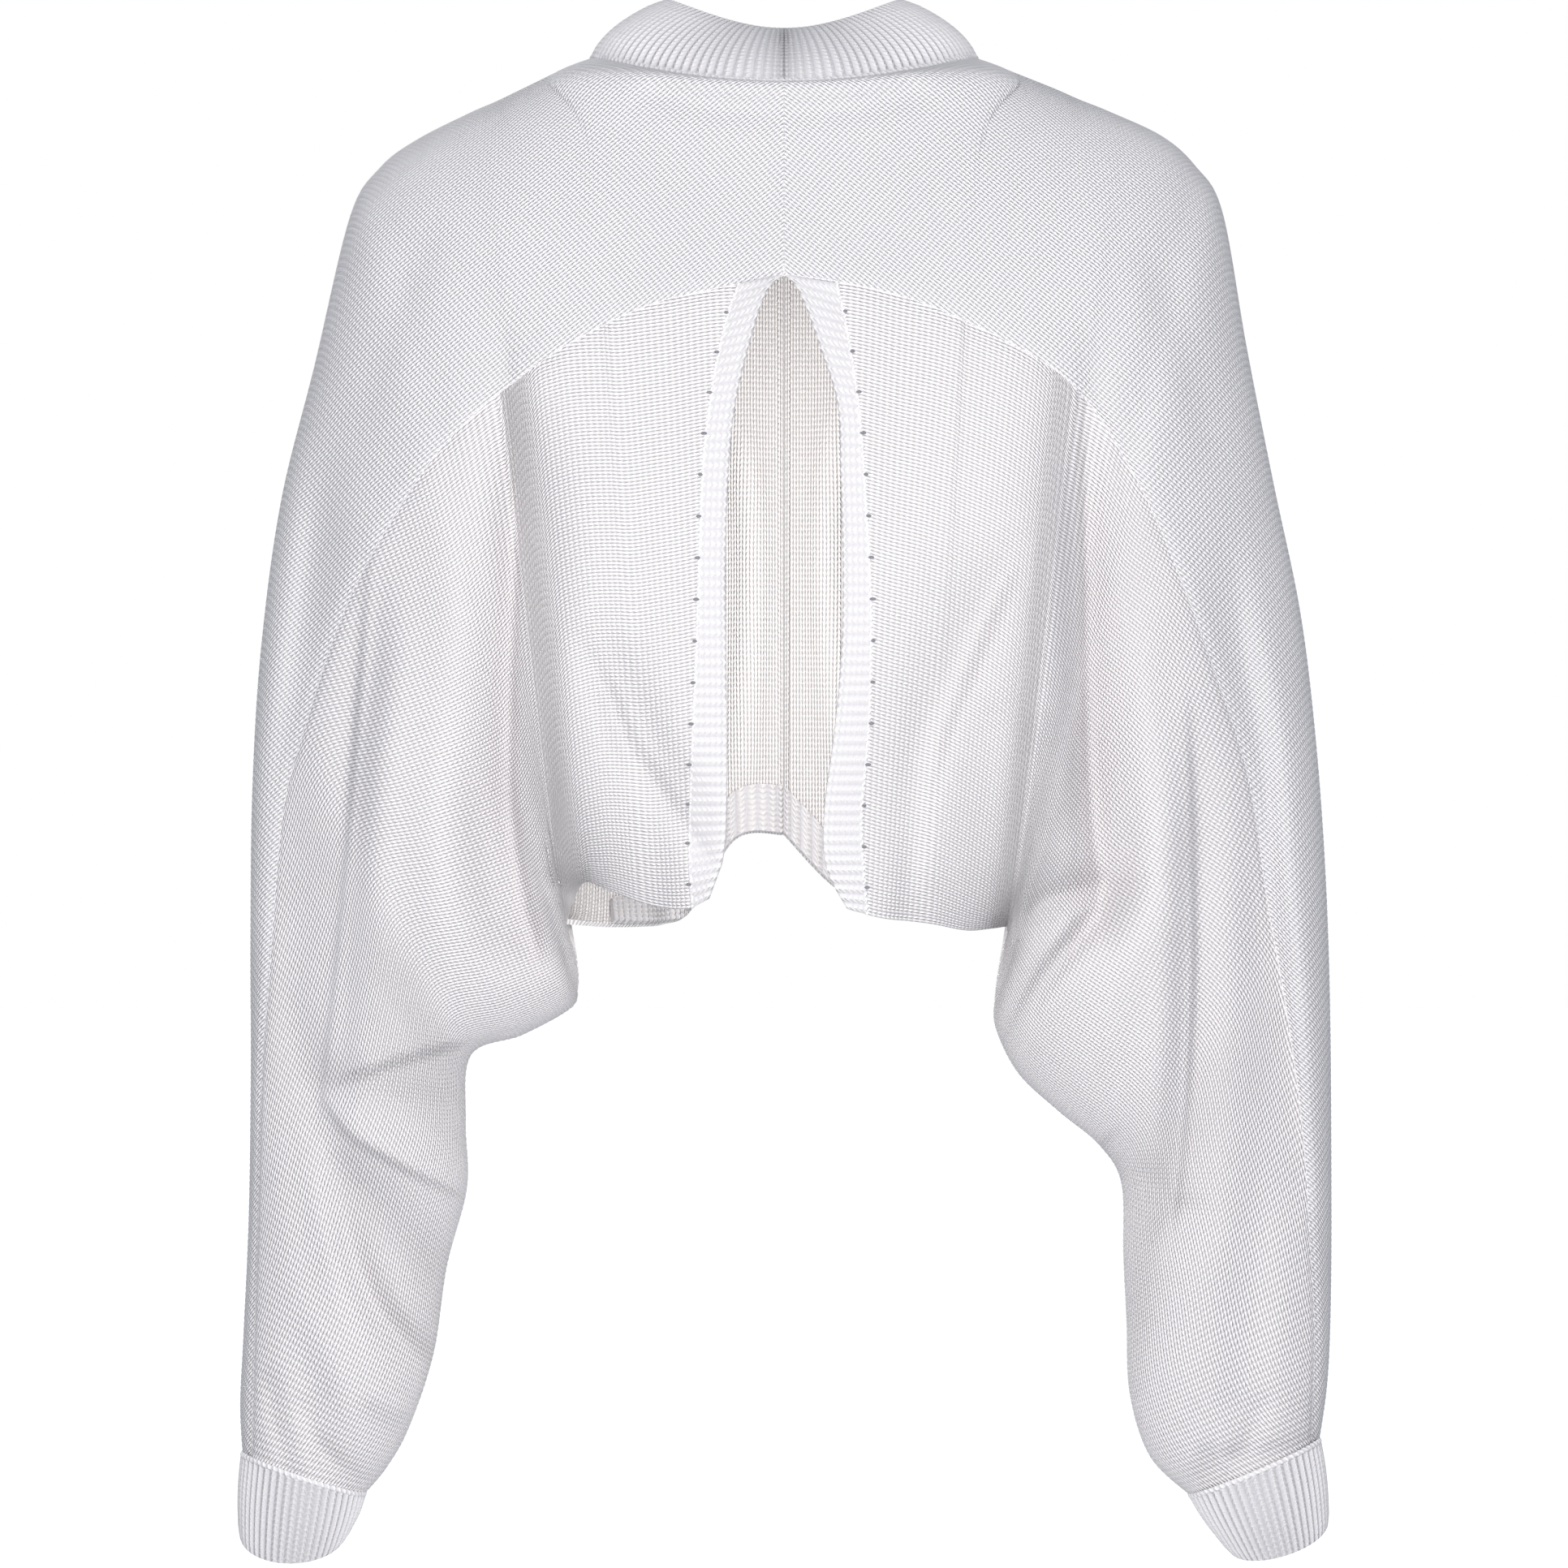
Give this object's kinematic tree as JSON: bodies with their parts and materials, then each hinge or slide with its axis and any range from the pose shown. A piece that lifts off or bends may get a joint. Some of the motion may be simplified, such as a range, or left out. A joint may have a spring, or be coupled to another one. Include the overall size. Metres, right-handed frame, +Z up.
{
  "type": "batwing sweater",
  "caption": "Cropped chunky-knit batwing sweater, worn shape with no wearer, with a ribbed neckband, ribbed cuffs and a drop-shaped open slit down the back.",
  "frame": {"origin": "middle of the neck seam at the height of the wearer's shoulder points, where the shoulders carry the garment", "axes": "+Z up along the wearer's body, +Y towards the wearer's back and +X towards the wearer's left arm"},
  "size_m": [0.4868, 0.197, 0.6938],
  "materials": {
    "bias_knit": "matt off-white chunky jersey knit, laid on the bias",
    "side_knit": "matt off-white chunky jersey knit, laid across the body and along the sleeve",
    "front_knit": "matt off-white chunky jersey knit",
    "rib_knit": "matt off-white rib knit"
  },
  "bodies": {
    "root": {"neckband": "rib_knit", "hem_band_front": "rib_knit", "back_yoke_left": "bias_knit", "back_panel_left": "side_knit", "front_left": "front_knit", "slit_band_left": "rib_knit", "hem_band_back_left": "rib_knit", "cuff_left": "rib_knit", "back_yoke_right": "bias_knit", "back_panel_right": "side_knit", "front_right": "front_knit", "slit_band_right": "rib_knit", "hem_band_back_right": "rib_knit", "cuff_right": "rib_knit"}
  },
  "joints": []
}
